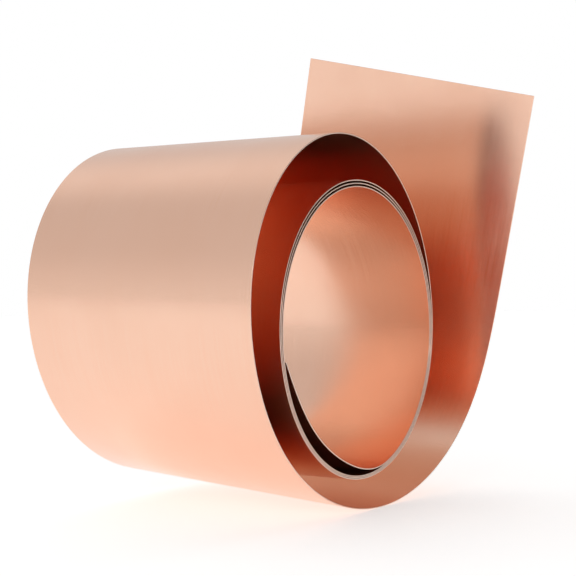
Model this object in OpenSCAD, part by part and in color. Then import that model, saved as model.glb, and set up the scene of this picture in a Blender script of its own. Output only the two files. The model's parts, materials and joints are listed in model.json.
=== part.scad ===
/* [Strip] */
// Width of the copper strip
strip_w = 100; // [60:1:120]
// Thickness of the copper strip
strip_t = 0.4; // [0.2:0.05:0.5]

/* [Tight coil] */
// Outside radius of the tight coil
coil_r = 55; // [45:1:65]
// Air between wraps at the bottom, where they nearly rest on each other
gap_bottom = 0.1; // [0.1:0.05:0.3]
// Air between wraps at the top
gap_top = 0.75; // [0.6:0.05:1]
// How far the outer wrap's top lies inside a full circle
top_drop = 0.9; // [0.8:0.05:1.2]
// Angle down from the right at which the inner end lifts off the wall
lift_angle = 71; // [65:1:75]

/* [Inner flap] */
// Length of each of the three lengths of the inner end
flap_bay = 28.5; // [15:0.5:28.5]
// Bend of the flap where it lifts off, degrees per length
flap_bend_root = 59; // [58:0.5:70]
// Bend a third of the way along the flap, degrees per length
flap_bend_lower = 19.5; // [19:0.5:25]
// Bend two thirds of the way along the flap, degrees per length
flap_bend_upper = 30; // [30:0.5:36]
// Bend of the flap at its free end, degrees per length
flap_bend_tip = 4; // [4:0.5:20]

/* [Loose turn] */
// Length of each length of the loose turn and of the tail
bay = 45; // [30:0.5:60]
// Angle up from the right at which the loose turn leaves the coil
leave_angle = -4; // [-10:0.5:20]
// Bend where the loose turn leaves the coil, degrees per length
bend_leave = 35; // [10:0.5:50]
// Bend at the shoulder, degrees per length
bend_shoulder = 36; // [10:0.5:60]
// Bend at the crown, degrees per length
bend_crown = 42; // [10:0.5:60]
// Bend at the upper back, degrees per length
bend_back_upper = 45.5; // [10:0.5:60]
// Bend at the lower back, degrees per length
bend_back_lower = 44.5; // [10:0.5:60]
// Bend at the belly, degrees per length
bend_belly = 34.5; // [10:0.5:60]
// Bend just before the lowest point, degrees per length
bend_base = 33; // [10:0.5:60]

/* [Tail] */
// Bend where the tail sweeps away, degrees per length
bend_sweep = 28; // [10:0.5:60]
// Bend on the way to the knee, degrees per length
bend_climb = 34; // [10:0.5:60]
// Bend at the knee, the sharpest of all, degrees per length
bend_knee = 54; // [20:0.5:70]
// Bend just above the knee, degrees per length
bend_above_knee = 3; // [0:0.5:20]
// Slant of the bend lines at the upper back, degrees
slant_back = -1.5; // [-5:0.5:5]
// Slant of the bend lines at the base, degrees
slant_base = 2.5; // [-5:0.5:10]
// Slant of the bend lines at the knee, degrees
slant_knee = 11; // [0:0.5:20]

/* [Hidden] */

// Rulings along each length, and the slit left at each bend line
steps = 8;
slit = 0.06;
// Radius of the middle of the strip's thickness on the outermost wrap
mid_r = coil_r - strip_t / 2;

// Height above the coil's axis at which wrap n crosses the top and the bottom
function top_z(n) = mid_r - top_drop - n * (strip_t + gap_top);
function bottom_z(n) = n * (strip_t + gap_bottom) - mid_r;

// Bend in degrees per length, and slant of the bend lines, at each station along the strip
loose_bends = [
    [0, bend_leave], [1, bend_shoulder], [2, bend_crown], [3, bend_back_upper],
    [4, bend_back_lower], [5, bend_belly], [6, bend_base], [7, bend_sweep],
    [8, bend_climb], [9, bend_knee], [10, bend_above_knee], [11, 0], [12, 0]
];
loose_slants = [[0, 0], [3, slant_back], [6, slant_base], [9, slant_knee], [12, 0]];
flap_bends = [[0, flap_bend_root], [1, flap_bend_lower], [2, flap_bend_upper], [3, flap_bend_tip]];
flap_slants = [[0, 0], [3, 0]];

// A ruling of the strip: [point on the centreline, direction of travel, side towards the coil, along the width]
function turned(v, k, a) = v * cos(a) + cross(k, v) * sin(a) + k * (k * v) * (1 - cos(a));

// The next ruling, du lengths on: the strip turns about its own bend line
function advance(r, u, du, len, bends, slants) =
    let (
        slant = lookup(u + du / 2, slants),
        angle = lookup(u + du / 2, bends) * du / cos(slant),
        axis = r[1] * sin(slant) + r[3] * cos(slant)
    )
    [
        r[0] + turned(r[1], axis, angle / 2) * du * len,
        turned(r[1], axis, angle),
        turned(r[2], axis, angle),
        turned(r[3], axis, angle)
    ];

// Every ruling of a strip of n lengths that starts at ruling r
function rulings(r, n, len, bends, slants) = [
    for (i = 0, q = r; i <= n * steps; q = advance(q, i / steps, 1 / steps, len, bends, slants), i = i + 1) q
];

// The ruling at angle a of an arc whose centre is at height cz: way is 1 outwards and upwards, -1 inwards and downwards
function start(rad, cz, a, way) = [
    [rad * cos(a), strip_w / 2, cz + rad * sin(a)],
    [-sin(a), 0, cos(a)] * way,
    [-cos(a), 0, -sin(a)],
    [0, -way, 0]
];

// The four corners of the strip's cross-section on a ruling, with the slit's half width taken off at an end
function corners(r, u, slants, trim) =
    let (
        across = r[3] + r[1] * tan(lookup(u, slants)),
        foot = r[0] + r[1] * trim
    )
    [for (c = [[1, 1], [1, -1], [-1, -1], [-1, 1]])
        foot + across * strip_w / 2 * c[0] + r[2] * strip_t / 2 * c[1]];

// All corners of one length of the strip
function length_corners(path, k, last, slants) = [
    for (i = [0:steps])
        each corners(
            path[k * steps + i], k + i / steps, slants,
            i == 0 ? slit / 2 : (i == steps && k != last) ? -slit / 2 : 0
        )
];

loose_path = rulings(start(mid_r, 0, leave_angle, 1), 12, bay, loose_bends, loose_slants);
flap_path = rulings(
    start((top_z(2) - bottom_z(3)) / 2, (top_z(2) + bottom_z(3)) / 2, -lift_angle, -1),
    3, flap_bay, flap_bends, flap_slants
);

// The origin is under the middle of the whole strip, on the surface that it stands on
loose_points = [for (k = [0:11]) each length_corners(loose_path, k, 11, loose_slants)];
function axis_values(n) = [for (p = loose_points) p[n]];
origin = [
    (min(axis_values(0)) + max(axis_values(0))) / 2,
    (min(axis_values(1)) + max(axis_values(1))) / 2,
    min(axis_values(2))
];

// One length of bent strip, as a closed skin round its rulings
module bent_length(path, k, last, slants) {
    points = length_corners(path, k, last, slants);
    sides = [
        for (i = [0:steps - 1], c = [0:3])
            let (a = 4 * i + c, b = 4 * i + (c + 1) % 4)
                each [[a, b, b + 4], [a, b + 4, a + 4]]
    ];
    far = 4 * steps;
    ends = [[2, 1, 0], [3, 2, 0], [far, far + 1, far + 2], [far, far + 2, far + 3]];
    translate(-origin)
        polyhedron(points, concat(sides, ends), convexity = 4);
}

module loose_length(k) bent_length(loose_path, k, 11, loose_slants);
module flap_length(k) bent_length(flap_path, k, 2, flap_slants);

// An arc of a tight wrap that spans from height low to height high, from one angle to another,
// measured clockwise from the right as seen from the near end
module wrap_arc(low, high, from, sweep) {
    rad = (high - low) / 2;
    translate(-origin)
        translate([0, 0, (high + low) / 2])
            rotate([-90, 0, 0])
                rotate([0, 0, from])
                    rotate_extrude(angle = sweep, $fn = 96)
                        translate([rad - strip_t / 2, 0])
                            square([strip_t, strip_w]);
}

// Left halves climb from the bottom to the top, right halves come down again to the next wrap
module left_half(n) wrap_arc(bottom_z(n), top_z(n), 90, 180);
module right_half(n, sweep = 180) wrap_arc(bottom_z(n + 1), top_z(n), 270, sweep);

// ---- tight coil ----
module outer_wrap_start() color("#d9a58c") wrap_arc(-mid_r, mid_r, -leave_angle, 90 + leave_angle);
module outer_wrap_left() color("#d9a58c") left_half(0);
module outer_wrap_right() color("#d9a58c") right_half(0);
module middle_wrap_left() color("#cf9478") left_half(1);
module middle_wrap_right() color("#cf9478") right_half(1);
module inner_wrap_left() color("#c27a55") left_half(2);
module inner_wrap_right() color("#c27a55") right_half(2, 90 + lift_angle);

// ---- inner free end ----
module flap_root() color("#c07a52") flap_length(0);
module flap_middle() color("#c07a52") flap_length(1);
module flap_tip() color("#c07a52") flap_length(2);

// ---- loose outer turn, from the coil round to the lowest point ----
module loose_leave() color("#e3bca9") loose_length(0);
module loose_shoulder() color("#e3bca9") loose_length(1);
module loose_crown() color("#e3bca9") loose_length(2);
module loose_back_upper() color("#e3bca9") loose_length(3);
module loose_back_lower() color("#e3bca9") loose_length(4);
module loose_belly() color("#e3bca9") loose_length(5);
module loose_base() color("#e3bca9") loose_length(6);

// ---- tail, from the lowest point up to the free end ----
module tail_sweep() color("#c98a62") loose_length(7);
module tail_knee() color("#c98a62") loose_length(8);
module tail_rise() color("#c98a62") loose_length(9);
module tail_upper() color("#c98a62") loose_length(10);
module tail_end() color("#c98a62") loose_length(11);

outer_wrap_start();
outer_wrap_left();
outer_wrap_right();
middle_wrap_left();
middle_wrap_right();
inner_wrap_left();
inner_wrap_right();
flap_root();
flap_middle();
flap_tip();
loose_leave();
loose_shoulder();
loose_crown();
loose_back_upper();
loose_back_lower();
loose_belly();
loose_base();
tail_sweep();
tail_knee();
tail_rise();
tail_upper();
tail_end();
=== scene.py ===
# %% [markdown]
# # A loosely wound roll of copper foil
#
# The real object is one long strip of soft copper foil. Its inner part is wound into a tight
# coil, the outer turn has sprung open, and the last stretch sweeps along the bench and up into
# a flat tail. Inside the coil, the other end of the strip has lifted off the wall as a flap.
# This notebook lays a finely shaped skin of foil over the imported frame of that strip.

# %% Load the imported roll
import json
import math

import bpy
import numpy as np
from mathutils import Matrix, Vector


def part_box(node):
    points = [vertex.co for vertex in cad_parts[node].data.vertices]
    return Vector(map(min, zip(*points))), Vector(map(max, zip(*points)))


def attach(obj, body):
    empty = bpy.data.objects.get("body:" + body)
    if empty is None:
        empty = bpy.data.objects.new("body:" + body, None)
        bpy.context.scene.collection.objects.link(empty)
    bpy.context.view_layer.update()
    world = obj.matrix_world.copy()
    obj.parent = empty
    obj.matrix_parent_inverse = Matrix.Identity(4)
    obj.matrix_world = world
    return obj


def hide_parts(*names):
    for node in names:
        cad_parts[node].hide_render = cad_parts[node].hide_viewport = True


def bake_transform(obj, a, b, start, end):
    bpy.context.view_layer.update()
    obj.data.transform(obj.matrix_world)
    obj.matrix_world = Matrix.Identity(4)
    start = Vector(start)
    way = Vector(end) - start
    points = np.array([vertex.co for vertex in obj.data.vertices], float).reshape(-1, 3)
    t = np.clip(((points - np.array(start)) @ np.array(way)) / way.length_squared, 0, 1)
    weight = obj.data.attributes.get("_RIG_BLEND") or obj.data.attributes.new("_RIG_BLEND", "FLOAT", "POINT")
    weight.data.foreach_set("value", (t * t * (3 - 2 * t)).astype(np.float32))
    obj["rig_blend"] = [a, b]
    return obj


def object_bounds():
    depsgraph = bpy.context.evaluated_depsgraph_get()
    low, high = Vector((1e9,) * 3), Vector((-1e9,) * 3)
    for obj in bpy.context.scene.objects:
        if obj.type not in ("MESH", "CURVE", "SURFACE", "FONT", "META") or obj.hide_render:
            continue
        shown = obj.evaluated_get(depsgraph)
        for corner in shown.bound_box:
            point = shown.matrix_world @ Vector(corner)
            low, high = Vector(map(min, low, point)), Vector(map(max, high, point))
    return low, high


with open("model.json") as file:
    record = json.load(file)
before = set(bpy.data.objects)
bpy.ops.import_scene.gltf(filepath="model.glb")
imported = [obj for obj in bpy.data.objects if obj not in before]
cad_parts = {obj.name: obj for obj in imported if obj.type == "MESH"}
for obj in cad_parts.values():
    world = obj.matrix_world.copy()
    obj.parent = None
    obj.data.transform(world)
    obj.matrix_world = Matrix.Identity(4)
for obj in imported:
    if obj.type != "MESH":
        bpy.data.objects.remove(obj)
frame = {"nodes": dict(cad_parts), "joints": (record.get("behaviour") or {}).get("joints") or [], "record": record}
cad_low, cad_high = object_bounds()
cad_size = [round(x * 1000, 1) for x in cad_high - cad_low]
print("packed roll:", len(frame["nodes"]), "lengths,", cad_size, "mm")

# %% [markdown]
# ## The strip's measures
#
# A strip has a width and a thickness, and the coil has a radius and an axis. The frame gives
# the place and the radius, so the skin fits it exactly. The strip is described by how hard it
# bends at each station along it, which is how a maker would bend it by hand.

# %% Measures
MM = 0.001
mounts = {mount["name"]: mount for mount in frame["record"]["mounts"]}
COIL_AXIS = np.array(mounts["coil_bore"]["pos_m"]) / MM
wrap_low, wrap_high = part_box("outer_wrap_left")
WIDTH = (wrap_high.y - wrap_low.y) / MM
THICKNESS = 0.4
COIL_RADIUS = COIL_AXIS[2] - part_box("outer_wrap_start")[0].z / MM
MIDDLE_RADIUS = COIL_RADIUS - THICKNESS / 2
GAP_BOTTOM, GAP_TOP, TOP_DROP = 0.1, 0.75, 0.9

# Bend in degrees per length at each station, and the slant of the bend lines in degrees
LENGTH = 45
LEAVE_ANGLE = -4
LOOSE_BENDS = [35, 36, 42, 45.5, 44.5, 34.5, 33, 28, 34, 54, 3, 0, 0]
SLANT_STATIONS, LOOSE_SLANTS = [0, 3, 6, 9, 12], [0, -1.5, 2.5, 11, 0]
FLAP_LENGTH = 28.5
LIFT_ANGLE = 71
FLAP_BENDS = [59, 19.5, 30, 4]
print(f"strip {WIDTH:.1f} x {THICKNESS} mm, coil radius {COIL_RADIUS:.2f} mm")

# %% [markdown]
# ## Walking along the strip
#
# Foil bends but never stretches, so every shape that it takes is ruled: straight bend lines lie
# side by side, and the strip turns a little about each one. Walking from one bend line to the
# next, and turning the direction of travel each time, gives the whole shape from the bends
# alone. That is truer to foil than pulling a mesh about by hand.

# %% Bend lines
FINE = 96  # bend lines in each length


def turned(vector, axis, angle):
    """A vector turned about a unit axis: v cos a + (k x v) sin a + k (k.v)(1 - cos a)."""
    cosine, sine = math.cos(angle), math.sin(angle)
    return vector * cosine + np.cross(axis, vector) * sine + axis * (axis @ vector) * (1 - cosine)


def walk(first, lengths, length, bends, slants):
    """Bend lines along a strip, as rows of foot, travel, inward and across, each a 3-vector.

    At station u the strip turns by bend(u) du / cos(slant) about the axis
    travel sin(slant) + across cos(slant), and steps forward by length du on the way.
    """
    line, lines, du = first, [first], 1 / FINE
    for u in (np.arange(lengths * FINE) + 0.5) * du:
        slant = math.radians(slants(u))
        angle = math.radians(bends(u)) * du / math.cos(slant)
        foot, travel, inward, across = line
        axis = travel * math.sin(slant) + across * math.cos(slant)
        half = turned(travel, axis, angle / 2)
        line = np.stack([foot + half * du * length, *(turned(v, axis, angle) for v in line[1:])])
        lines.append(line)
    return np.array(lines)


def leaving(radius, height, degrees, way):
    """The bend line at angle a on an arc about the coil's axis, whose middle is raised by c.

    The foot is (r cos a, w/2, c + r sin a). way is 1 for a strip that goes on anticlockwise, as
    seen from the near end, and -1 for one that goes on clockwise.
    """
    cosine, sine = math.cos(math.radians(degrees)), math.sin(math.radians(degrees))
    return np.array([
        [radius * cosine, WIDTH / 2, height + radius * sine],
        [-sine * way, 0, cosine * way],
        [-cosine, 0, -sine],
        [0, -way, 0],
    ])


def top(wrap):
    """Height at which a wrap crosses over the axis."""
    return MIDDLE_RADIUS - TOP_DROP - wrap * (THICKNESS + GAP_TOP)


def bottom(wrap):
    """Height at which a wrap crosses under the axis."""
    return wrap * (THICKNESS + GAP_BOTTOM) - MIDDLE_RADIUS


def loose_bend(u):
    """Bend in degrees per length at station u of the loose turn and tail, in straight ramps."""
    return np.interp(u, range(13), LOOSE_BENDS)


def loose_slant(u):
    """Slant of the bend line at station u of the loose turn and tail, in straight ramps."""
    return np.interp(u, SLANT_STATIONS, LOOSE_SLANTS)


def flap_bend(u):
    """Bend in degrees per length at station u of the flap, in straight ramps."""
    return np.interp(u, range(4), FLAP_BENDS)


def no_slant(u):
    """Bend lines square to the strip."""
    return np.zeros_like(u)


loose_lines = walk(leaving(MIDDLE_RADIUS, 0, LEAVE_ANGLE, 1), 12, LENGTH, loose_bend, loose_slant)
flap_radius, flap_height = (top(2) - bottom(3)) / 2, (top(2) + bottom(3)) / 2
flap_start = leaving(flap_radius, flap_height, -LIFT_ANGLE, -1)
flap_lines = walk(flap_start, 3, FLAP_LENGTH, flap_bend, no_slant)
hinges = {j["child"]: np.array(j["pos_m"]) / MM - COIL_AXIS for j in frame["joints"]}
print("free end is off the last hinge by", round(float(np.linalg.norm(
    loose_lines[11 * FINE, 0] - hinges["tail_end"])), 3), "mm")

# %% [markdown]
# ## The tight wraps
#
# Each wrap of the coil is made of half circles that join at the top and at the bottom. The
# wraps nearly rest on each other at the bottom and hang apart at the top, as a loose coil lying
# on its side does, so each half circle is a little smaller than the one before.

# %% Arcs of the coil
def arc_lines(low, high, first, last):
    """Bend lines clockwise round an arc that spans the heights low to high.

    At angle a below the right, the foot is (r cos a, w/2, c - r sin a), with r half the span
    and c its middle, and travel is the clockwise tangent.
    """
    count = max(8, int((last - first) / 0.75))
    angle = np.radians(np.linspace(first, last, count + 1))
    radius, middle, zero = (high - low) / 2, (high + low) / 2, np.zeros(count + 1)
    foot = np.stack([radius * np.cos(angle), zero + WIDTH / 2, middle - radius * np.sin(angle)], 1)
    travel = np.stack([-np.sin(angle), zero, -np.cos(angle)], 1)
    inward = np.stack([-np.cos(angle), zero, np.sin(angle)], 1)
    across = np.stack([zero, zero + 1, zero], 1)
    return np.stack([foot, travel, inward, across], 1)


def joined(*runs):
    """Runs of bend lines end to end, without the doubled line where two meet."""
    return np.concatenate([runs[0], *(run[1:] for run in runs[1:])])


def run_of(lines):
    """Distance along the strip at each bend line, in millimetres."""
    return np.concatenate([[0], np.cumsum(np.linalg.norm(np.diff(lines[:, 0], axis=0), axis=1))])


ROOT_REACH = 0.5 * LENGTH  # how much of the outer wrap the first loose piece takes
root_degrees = -LEAVE_ANGLE + math.degrees(ROOT_REACH / MIDDLE_RADIUS)
FLAP_REACH = 0.5 * FLAP_LENGTH  # how much of the inner wrap the first flap piece takes
lift_degrees = 360 + LIFT_ANGLE - math.degrees(FLAP_REACH / flap_radius)

leave_lines = arc_lines(-MIDDLE_RADIUS, MIDDLE_RADIUS, -LEAVE_ANGLE, root_degrees)
outer_lines = joined(
    arc_lines(-MIDDLE_RADIUS, MIDDLE_RADIUS, root_degrees, 90),
    arc_lines(bottom(0), top(0), 90, 270),
    arc_lines(bottom(1), top(0), 270, 450),
)
middle_lines = joined(arc_lines(bottom(1), top(1), 90, 270), arc_lines(bottom(2), top(1), 270, 450))
inner_lines = joined(
    arc_lines(bottom(2), top(2), 90, 270), arc_lines(bottom(3), top(2), 270, lift_degrees)
)
lift_lines = arc_lines(bottom(3), top(2), lift_degrees, 360 + LIFT_ANGLE)
print("strip length in the coil:", round(sum(run_of(x)[-1] for x in (
    leave_lines, outer_lines, middle_lines, inner_lines, lift_lines))), "mm")

# %% [markdown]
# ## A skin of foil
#
# A slit strip has flat faces and cut edges with tiny rounded corners. One cross-section is
# carried along the bend lines, and free ends are rounded in the same way as the sides. Each
# piece gets its own UV map in real millimetres along and across the strip, because the rolling
# marks follow the strip wherever it bends.

# %% Cross-section and skin
CORNER = 0.1
CORNER_STEPS = 3
FACE_COLUMNS = [0, 0.12, 0.8, 4, 12, 25, 38]


def section():
    """Half a cross-section: across positions and half heights, from one cut edge to the other.

    The corner is a quarter circle of radius CORNER from the side of the strip to its face.
    """
    quarter = np.radians(np.linspace(0, 90, CORNER_STEPS + 1))
    side = WIDTH / 2 - CORNER * (1 - np.cos(quarter))
    height = THICKNESS / 2 - CORNER * (1 - np.sin(quarter))
    inner = WIDTH / 2 - CORNER - np.array(FACE_COLUMNS[1:])
    left_side = np.concatenate([side, inner])
    left_height = np.concatenate([height, np.full(len(inner), THICKNESS / 2)])
    across = np.concatenate([-left_side, [0], left_side[::-1]])
    return across, np.concatenate([left_height, [THICKNESS / 2], left_height[::-1]])


SECTION_ACROSS, SECTION_HEIGHT = section()


def at_rows(lines, rows):
    """Bend lines at any distances along a run, between the ones that were walked."""
    run = run_of(lines)
    flat = lines.reshape(len(lines), -1)
    found = np.stack([np.interp(rows, run, column) for column in flat.T], 1).reshape(-1, 4, 3)
    found[:, 1:] /= np.linalg.norm(found[:, 1:], axis=2, keepdims=True)
    return found


def rows_between(first, last, step=0.8, free_start=False, free_end=False):
    """Distances for the rows of a piece, closer together near its ends, and how far each is
    inset from the full section, which is not zero only where a free end is rounded."""
    rows = np.linspace(first, last, max(4, int((last - first) / step)) + 1)
    near = np.array([0.15, 0.4])
    rows = np.sort(np.concatenate([rows, first + near, last - near]))
    quarter = np.radians(np.linspace(0, 90, CORNER_STEPS + 1))
    inset = np.zeros(len(rows))
    if free_end:
        rows = np.concatenate([rows[:-1], last - CORNER * (1 - np.sin(quarter))])
        inset = np.concatenate([inset[:-1], CORNER * (1 - np.cos(quarter))])
    if free_start:
        rows = np.concatenate([first + CORNER * (1 - np.sin(quarter))[::-1], rows[1:]])
        inset = np.concatenate([CORNER * (1 - np.cos(quarter))[::-1], inset[1:]])
    return rows, inset


def foil_skin(name, lines, slants, along, side_sign=1, **ends):
    """A closed skin round a run of bend lines.

    Point = foot + (across + travel tan slant) v + inward h, where v and h run round the
    section. slants gives the slant in degrees at each row, and along the distance on the
    whole strip that the UV map shows.
    """
    length = run_of(lines)[-1]
    rows, inset = rows_between(0, length, **ends)
    foot, travel, inward, across = at_rows(lines, rows).transpose(1, 0, 2)
    slope = np.tan(np.radians(slants(rows)))[:, None]
    ruling = across + travel * slope
    shrink_side = 1 - inset / (WIDTH / 2)
    shrink_height = 1 - inset / (THICKNESS / 2)
    side = np.concatenate([SECTION_ACROSS, SECTION_ACROSS[::-1]])
    height = np.concatenate([SECTION_HEIGHT, -SECTION_HEIGHT[::-1]])
    points = (
        foot[:, None]
        + ruling[:, None] * (shrink_side[:, None] * side)[..., None]
        + inward[:, None] * (shrink_height[:, None] * height)[..., None]
    )
    ring = len(side)
    i, j = np.meshgrid(np.arange(len(rows) - 1), np.arange(ring), indexing="ij")
    corner = i * ring + j
    beside = i * ring + (j + 1) % ring
    walls = np.stack([corner, beside, beside + ring, corner + ring], -1).reshape(-1, 4)
    k = np.arange(ring // 2 - 1)
    cap = np.stack([k, k + 1, ring - 2 - k, ring - 1 - k], 1)
    faces = np.concatenate([walls, cap[:, ::-1], cap + (len(rows) - 1) * ring])
    world = (points.reshape(-1, 3) + COIL_AXIS) * MM
    a, b, c = (world[faces[:, n]] for n in range(3))
    if np.einsum("ij,ij->i", a, np.cross(b, c)).sum() < 0:
        faces = faces[:, ::-1]
    mesh = bpy.data.meshes.new(name)
    mesh.from_pydata(world, [], faces)
    mesh.shade_smooth()
    uv = np.stack([
        np.repeat(along + rows, ring) * MM, side_sign * np.tile(side, len(rows)) * MM
    ], 1)
    layer = mesh.uv_layers.new(name="strip")
    layer.data.foreach_set("uv", uv[faces.ravel()].astype(np.float32).ravel())
    on_face = np.abs(side) < WIDTH / 2 - CORNER / 2
    flat = np.tile(on_face, len(rows)) & np.repeat(inset < CORNER / 4, ring)
    cut = ~flat[faces].any(1)
    cut[-2 * len(k):] = True
    mesh.polygons.foreach_set("material_index", cut.astype(np.int32))
    mesh.set_sharp_from_angle(angle=math.radians(50))
    piece = bpy.data.objects.new(name, mesh)
    bpy.context.scene.collection.objects.link(piece)
    return piece


# %% [markdown]
# ## Colours
#
# Hex colours are what one sees on a screen, and the renderer works in linear light, so one
# function turns the first into the second. Another small one adds a node, with its settings
# and links, and is all that the materials need.

# %% Colour and node helpers
def colour(hex_code):
    """An sRGB hex colour as linear red, green, blue and alpha."""
    values = np.array([int(hex_code[n:n + 2], 16) for n in (1, 3, 5)]) / 255
    return (*np.where(values <= 0.04045, values / 12.92, ((values + 0.055) / 1.055) ** 2.4), 1.0)


def add_node(tree, kind, links=None, **settings):
    """A new node. links maps its input names or numbers to output sockets or to plain values,
    and settings are its own properties."""
    node = tree.nodes.new(kind)
    for key, value in settings.items():
        setattr(node, key, value)
    for key, value in (links or {}).items():
        if isinstance(value, bpy.types.NodeSocket):
            tree.links.new(value, node.inputs[key])
        else:
            node.inputs[key].default_value = value
    return node


# %% [markdown]
# ## Cold-rolled copper
#
# Foil is rolled cold between polished rolls, and the rolls leave very fine lines along its
# length and faint bands across it. The lines stretch every highlight across the strip, which is
# why rolled foil shows broad soft bars of light. Bare copper is pink where it mirrors white
# light once and turns orange and red where light has bounced between two walls of it.

# %% Rolled copper and cut edges
CHATTER_HEIGHT = 0.08 * MM
COPPER = {"base": "#F5C9B1", "warm": "#F0C1A7", "line": "#F8D1BD"}


def rolled_copper(name, roughness=0.22):
    """Bare cold-rolled copper: a metal with anisotropic gloss along the rolling lines."""
    material = bpy.data.materials.new(name)
    material.use_nodes = True
    tree = material.node_tree
    tree.nodes.clear()
    strip = add_node(tree, "ShaderNodeUVMap", uv_map="strip")
    # Rolling lines: about 0.4 mm apart across the strip and 60 mm long, drawn coarser than the
    # real ones, which are some hundredths of a millimetre apart
    lines_at = add_node(tree, "ShaderNodeMapping", {0: strip.outputs[0], "Scale": (16, 2500, 1)})
    lines = add_node(tree, "ShaderNodeTexNoise", {"Vector": lines_at.outputs[0], "Scale": 1.0,
                     "Detail": 3.0, "Roughness": 0.6}, noise_dimensions="2D")
    # Roll chatter: faint bands 4 to 12 mm apart along the strip
    chatter_at = add_node(tree, "ShaderNodeMapping", {0: strip.outputs[0], "Scale": (160, 3, 1)})
    chatter = add_node(tree, "ShaderNodeTexNoise", {"Vector": chatter_at.outputs[0], "Scale": 1.0,
                       "Detail": 2.0, "Roughness": 0.5}, noise_dimensions="2D")
    # Handling haze: patches some centimetres across where the surface has dulled a little
    haze = add_node(tree, "ShaderNodeTexNoise", {"Vector": strip.outputs[0], "Scale": 28.0,
                    "Detail": 4.0, "Roughness": 0.55}, noise_dimensions="2D")
    tint = add_node(tree, "ShaderNodeMix", {"Factor": haze.outputs["Fac"], "A": colour(COPPER["base"]),
                    "B": colour(COPPER["warm"])}, data_type="RGBA")
    bright = add_node(tree, "ShaderNodeMapRange", {"Value": lines.outputs["Fac"], "From Min": 0.3,
                      "From Max": 0.7, "To Min": 0.0, "To Max": 0.3})
    toned = add_node(tree, "ShaderNodeMix", {"Factor": bright.outputs[0], "A": tint.outputs["Result"],
                     "B": colour(COPPER["line"])}, data_type="RGBA")
    rough_lines = add_node(tree, "ShaderNodeMapRange", {"Value": lines.outputs["Fac"], "From Min": 0.3,
                           "From Max": 0.7, "To Min": roughness - 0.02, "To Max": roughness + 0.02})
    rough_haze = add_node(tree, "ShaderNodeMapRange", {"Value": haze.outputs["Fac"], "From Min": 0.3,
                          "From Max": 0.7, "To Min": -0.02, "To Max": 0.03})
    rough = add_node(tree, "ShaderNodeMath", {0: rough_lines.outputs[0], 1: rough_haze.outputs[0]},
                     operation="ADD")
    bump = add_node(tree, "ShaderNodeBump", {"Height": chatter.outputs["Fac"], "Strength": 0.05,
                    "Distance": CHATTER_HEIGHT})
    tangent = add_node(tree, "ShaderNodeTangent", direction_type="UV_MAP", uv_map="strip")
    shader = add_node(tree, "ShaderNodeBsdfPrincipled", {
        "Base Color": toned.outputs["Result"], "Roughness": rough.outputs[0], "Metallic": 1.0,
        "Anisotropic": 0.5, "Anisotropic Rotation": 0.0, "Normal": bump.outputs[0],
        "Tangent": tangent.outputs[0],
    })
    add_node(tree, "ShaderNodeOutputMaterial", {"Surface": shader.outputs[0]})
    return material


def slit_edge_and_painted_highlight(name):
    """The cut edge of the foil: sheared, slightly burred and with fine drag marks, in a pale cream that is partly
    the fresh metal and partly a painted highlight of the light the edges catch.
    """
    material = bpy.data.materials.new(name)
    material.use_nodes = True
    tree = material.node_tree
    tree.nodes.clear()
    place = add_node(tree, "ShaderNodeTexCoord")
    drag = add_node(tree, "ShaderNodeTexNoise", {"Vector": place.outputs["Object"], "Scale": 1400.0,
                    "Detail": 2.0})
    # Pale cream and light pink: partly the cut metal's own colour and partly a painted highlight, paler than
    # copper so that the edges look brightly lit
    edge_tone_and_highlight = add_node(tree, "ShaderNodeMix", {"Factor": drag.outputs["Fac"], "A": colour("#FFEADD"),
                    "B": colour("#FAD9C6")}, data_type="RGBA")
    rough = add_node(tree, "ShaderNodeMapRange", {"Value": drag.outputs["Fac"], "To Min": 0.45,
                     "To Max": 0.65})
    shader = add_node(tree, "ShaderNodeBsdfPrincipled", {
        "Base Color": edge_tone_and_highlight.outputs["Result"], "Roughness": rough.outputs[0], "Metallic": 1.0,
    })
    add_node(tree, "ShaderNodeOutputMaterial", {"Surface": shader.outputs[0]})
    return material


FOIL = rolled_copper("bare copper, cold rolled")
EDGE_AND_HIGHLIGHT = slit_edge_and_painted_highlight("bare copper, slit edge with painted highlight")


def dress(piece):
    """Foil on the faces, and on the cut edges slit metal whose pale colour is partly a painted highlight."""
    piece.data.materials.append(FOIL)
    piece.data.materials.append(EDGE_AND_HIGHLIGHT)
    print(f"{piece.name}: {len(piece.data.polygons)} faces")


# %% [markdown]
# ## The tight coil
#
# Three wraps ride together on the coil's body. Each is its own piece, and the joins lie at the
# bottom, where one wrap ends and the next begins.

# %% Wraps
wraps = [
    ("outer_wrap_foil", outer_lines, ("outer_wrap_start", "outer_wrap_left", "outer_wrap_right")),
    ("middle_wrap_foil", middle_lines, ("middle_wrap_left", "middle_wrap_right")),
    ("inner_wrap_foil", inner_lines, ("inner_wrap_left", "inner_wrap_right")),
]
reached = ROOT_REACH
for name, lines, nodes in wraps:
    wrap = foil_skin(name, lines, no_slant, reached, -1)
    reached += run_of(lines)[-1]
    dress(wrap)
    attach(wrap, "coil")
    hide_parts(*nodes)

# %% [markdown]
# ## The loose turn, the tail and the flap
#
# These bend when the roll is handled. The frame turns them about a bend line at the start of
# each length, so a piece is cut from the middle of one length to the middle of the next, and
# bends smoothly about the line between them. Its ends stay rigid, and so it meets its
# neighbours at every pose.

# %% Bending lengths
BLEND = 13
FLAP_BLEND = 8


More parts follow.
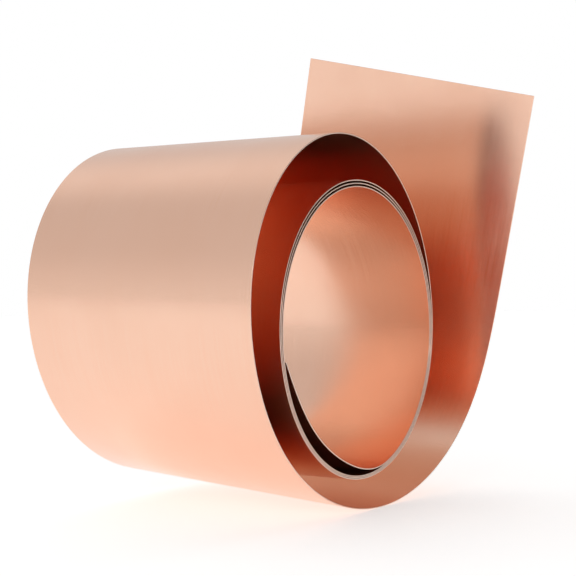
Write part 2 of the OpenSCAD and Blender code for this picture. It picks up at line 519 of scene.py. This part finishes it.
def bend_across(piece, before, after, hinge, slant, reach):
    """Lets a piece bend from one body to the next about the bend line of a hinge."""
    foot, travel, _, across = hinge
    ruling = across + travel * math.tan(math.radians(slant))
    ruling /= np.linalg.norm(ruling)
    ahead = travel - ruling * (travel @ ruling)
    ahead /= np.linalg.norm(ahead)
    ends = [(foot + COIL_AXIS + ahead * way * reach) * MM for way in (-1, 1)]
    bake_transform(piece, before, after, start=ends[0], end=ends[1])
    weight = np.zeros(len(piece.data.vertices), np.float32)
    piece.data.attributes["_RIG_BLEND"].data.foreach_get("value", weight)
    ring = 2 * len(SECTION_ACROSS)
    assert weight[:ring].max() == 0 and weight[-ring:].min() == 1, piece.name


def lay_lengths(names, before, root_lines, lines, length, slants, reach, slot_of, along):
    """One piece for each hinge of a chain of lengths that starts on the coil."""
    for k, name in enumerate(names):
        first, last = (k - 0.5) * length, (k + 0.5) * length
        if k == len(names) - 1:
            last = len(names) * length
        run = run_of(lines)
        part = lines[(run > max(first, 0) + 1e-6) & (run < last - 1e-6)]
        ends = at_rows(lines, np.array([max(first, 0), last]))
        part = np.concatenate([ends[:1], part, ends[1:]])
        if k == 0:
            part = joined(root_lines, part)
        start = first

        def slant_at(rows, start=start):
            return slants(np.maximum(rows + start, 0) / length)

        piece = foil_skin(f"{name}_foil", part, slant_at, along + first,
                          free_end=k == len(names) - 1)
        dress(piece)
        bend_across(piece, before, name, lines[k * FINE], slants(k), reach)
        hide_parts(name)
        slot_of(name)
        before = name


leave_root = leave_lines[::-1].copy()
leave_root[:, 1] *= -1
leave_root[:, 3] *= -1
lay_lengths(
    ["loose_leave", "loose_shoulder", "loose_crown", "loose_back_upper", "loose_back_lower",
     "loose_belly", "loose_base", "tail_sweep", "tail_knee", "tail_rise", "tail_upper", "tail_end"],
    "coil", leave_root, loose_lines, LENGTH, loose_slant, BLEND,
    lambda name: "copper_tail" if name.startswith("tail") else "copper_loose_turn", 0,
)
lay_lengths(
    ["flap_root", "flap_middle", "flap_tip"],
    "coil", lift_lines, flap_lines, FLAP_LENGTH, no_slant, FLAP_BLEND,
    lambda name: "copper_flap", reached + FLAP_REACH,
)

# %% [markdown]
# ## Floor and light
#
# A pale floor runs out level in all directions, far enough that its rim is lost in the white of
# the studio. It glows a little, as a light table does. The light comes from a soft surround that
# is brightest overhead and at the left, and from one long soft box at the left of the near end.

# %% Floor
FLOOR_RADIUS = 6.0
WHITE = (1, 1, 1, 1)
FLOOR_GLOW = 0.5  # light that comes up through the white floor, as on a light table


def floor_disc(radius, rings, spokes):
    """A flat disc: point = radius (i / rings) (cos a, sin a), a full turn of a in spokes."""
    share, turn = np.meshgrid(np.arange(1, rings + 1) / rings, np.arange(spokes) / spokes * 2 * np.pi,
                              indexing="ij")
    rim = np.stack([radius * share * np.cos(turn), radius * share * np.sin(turn), 0 * share], -1)
    points = np.concatenate([[[0, 0, 0]], rim.reshape(-1, 3)])
    i, j = np.meshgrid(np.arange(rings - 1), np.arange(spokes), indexing="ij")
    near, beside = 1 + i * spokes + j, 1 + i * spokes + (j + 1) % spokes
    quads = np.stack([near, near + spokes, beside + spokes, beside], -1).reshape(-1, 4).tolist()
    j = np.arange(spokes)
    return points, quads + np.stack([0 * j, 1 + j, 1 + (j + 1) % spokes], 1).tolist()


floor_mesh = bpy.data.meshes.new("floor")
floor_points, floor_faces = floor_disc(FLOOR_RADIUS, 6, 48)
floor_mesh.from_pydata(floor_points, [], floor_faces)
floor = bpy.data.objects.new("floor", floor_mesh)
bpy.context.scene.collection.objects.link(floor)
paint = bpy.data.materials.new("white studio floor, matt paint")
paint.use_nodes = True
coat = paint.node_tree.nodes["Principled BSDF"].inputs
coat["Base Color"].default_value = colour("#F4F4F4")
coat["Roughness"].default_value = 0.9
coat["Emission Color"].default_value = WHITE
coat["Emission Strength"].default_value = FLOOR_GLOW
floor_mesh.materials.append(paint)

# %% Surround
world = bpy.data.worlds.new("soft white studio")
bpy.context.scene.world = world
world.use_nodes = True
world_tree = world.node_tree
world_tree.nodes.clear()
# Brightness of the soft boxes round the coil's axis, by the angle in degrees from level right,
# over the top, to level left
ROUND_AXIS = [(0, 0.3), (15, 0.7), (45, 0.72), (82, 0.9), (112, 0.68), (145, 0.7), (180, 0.85)]
# The same on the side of the near end, where one wide soft box stands low on the left
NEAR_END = [(0, 0.15), (30, 0.05), (120, 0.05), (150, 0.3), (180, 0.4)]

towards = add_node(world_tree, "ShaderNodeTexCoord")
parts = add_node(world_tree, "ShaderNodeSeparateXYZ", {0: towards.outputs["Generated"]})
around = add_node(world_tree, "ShaderNodeMath", {0: parts.outputs["Z"], 1: parts.outputs["X"]},
                  operation="ARCTAN2")
place_round = add_node(world_tree, "ShaderNodeMapRange", {"Value": around.outputs[0], "From Min": 0.0,
                       "From Max": math.pi, "To Min": 0.0, "To Max": 1.0})


def brightness_round(levels):
    """A colour ramp of soft grey over the half turn above the floor."""
    ramp = add_node(world_tree, "ShaderNodeValToRGB", {"Fac": place_round.outputs[0]})
    stops = ramp.color_ramp.elements
    for n, (angle, level) in enumerate(levels):
        stop = stops[n] if n < 2 else stops.new(angle / 180)
        stop.position = angle / 180
        stop.color = (level, level, level, 1)
    ramp.color_ramp.interpolation = "EASE"
    return ramp.outputs["Color"]


near_side = add_node(world_tree, "ShaderNodeMapRange", {"Value": parts.outputs["Y"], "From Min": -0.5,
                     "From Max": -0.1, "To Min": 1.0, "To Max": 0.0}, interpolation_type="SMOOTHSTEP")
shade = add_node(world_tree, "ShaderNodeMix", {"Factor": near_side.outputs[0],
                 "A": brightness_round(ROUND_AXIS), "B": brightness_round(NEAR_END)},
                 data_type="RGBA")
soft_boxes = add_node(world_tree, "ShaderNodeBackground", {"Color": shade.outputs["Result"]})
backdrop = add_node(world_tree, "ShaderNodeBackground", {"Color": WHITE, "Strength": 1.0})
# The backdrop is plain white, and the foil mirrors the soft boxes instead of it
ray = add_node(world_tree, "ShaderNodeLightPath")
seen = add_node(world_tree, "ShaderNodeMixShader", {0: ray.outputs["Is Camera Ray"],
                1: soft_boxes.outputs[0], 2: backdrop.outputs[0]})
add_node(world_tree, "ShaderNodeOutputWorld", {"Surface": seen.outputs[0]})
bpy.context.scene.view_settings.view_transform = "Standard"
# Light bounces many times between the walls of the foil before it comes out
bpy.context.scene.cycles.max_bounces = 14
bpy.context.scene.cycles.glossy_bounces = 12

# %% Soft box at the left
BOX_WIDTH, BOX_LENGTH = 0.14, 1.2
BOX_PLACE = Vector((-1.0, -0.75, 0.42))
BOX_POWER = 3.0
box_light = bpy.data.lights.new("left soft box", "AREA")
box_light.shape, box_light.size, box_light.size_y = "RECTANGLE", BOX_WIDTH, BOX_LENGTH
box_light.energy = BOX_POWER
soft_box = bpy.data.objects.new("left soft box", box_light)
bpy.context.scene.collection.objects.link(soft_box)
soft_box.location = BOX_PLACE
# Its long side lies level, so that it makes bars of light across the foil
facing = BOX_PLACE.normalized()
level_side = Vector((0, 0, 1)).cross(facing).normalized()
box_turn = Matrix((facing.cross(level_side), level_side, facing)).transposed()
soft_box.rotation_euler = box_turn.to_euler()
soft_box.visible_camera = False

# %% [markdown]
# ## Camera
#
# The camera stands to the left of the near end, level with the coil, so that the open end, the
# outer turn and the raised tail all show.

# %% Camera
CAMERA_FROM_AXIS = np.array([-404.6, -236.3, 11.7])
HEADING, PITCH, ROLL = math.radians(33.64), math.radians(0.38), math.radians(0.57)
lens = bpy.data.cameras.new("camera")
lens.lens, lens.sensor_width = 80, 36
camera = bpy.data.objects.new("camera", lens)
bpy.context.scene.collection.objects.link(camera)
view_line = np.array([
    math.cos(PITCH) * math.cos(HEADING), math.cos(PITCH) * math.sin(HEADING), math.sin(PITCH)
])
level_right = np.array([math.sin(HEADING), -math.cos(HEADING), 0])
level_up = np.cross(level_right, view_line)
view_up = level_up * math.cos(ROLL) + level_right * math.sin(ROLL)
turn = np.stack([np.cross(view_line, view_up), view_up, -view_line], 1)
placed = Matrix.Identity(4)
for row in range(3):
    placed[row][:3] = turn[row]
    placed[row][3] = (COIL_AXIS[row] + CAMERA_FROM_AXIS[row]) * MM
camera.matrix_world = placed
bpy.context.scene.camera = camera
